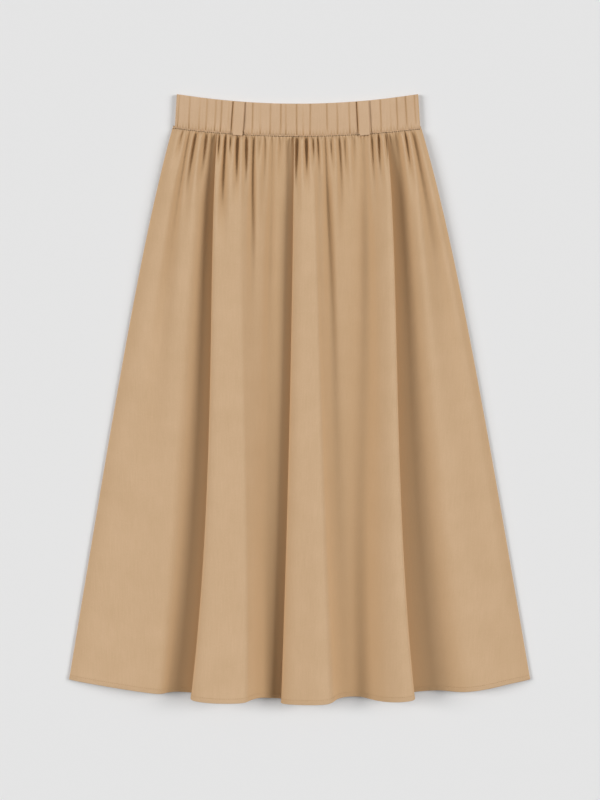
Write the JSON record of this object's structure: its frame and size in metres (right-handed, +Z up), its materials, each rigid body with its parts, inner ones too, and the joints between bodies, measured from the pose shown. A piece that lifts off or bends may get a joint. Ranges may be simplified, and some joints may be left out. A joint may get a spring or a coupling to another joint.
{
  "type": "circle skirt",
  "caption": "Flared midi skirt laid flat: front and back panels in soft lengthwise folds, gathered into an elastic waistband that carries belt loops.",
  "frame": {"origin": "on the surface that the skirt lies on, under the middle of its bounding box", "axes": "+Z up from that surface, +Y along the skirt from the hem towards the waist, +X to the right seen from above with the waist away from the viewer"},
  "size_m": [0.6117, 0.8064, 0.0377],
  "materials": {
    "skirt_cloth": "matt woven cotton, camel",
    "waistband_cloth": "matt woven cotton, camel, ruched over elastic",
    "belt_loop_cloth": "matt woven cotton, camel, edge-stitched"
  },
  "bodies": {
    "root": {"skirt_front": "skirt_cloth", "skirt_back": "skirt_cloth", "waistband_front": "waistband_cloth", "waistband_back": "waistband_cloth", "belt_loop_left": "belt_loop_cloth", "belt_loop_right": "belt_loop_cloth"}
  },
  "joints": []
}
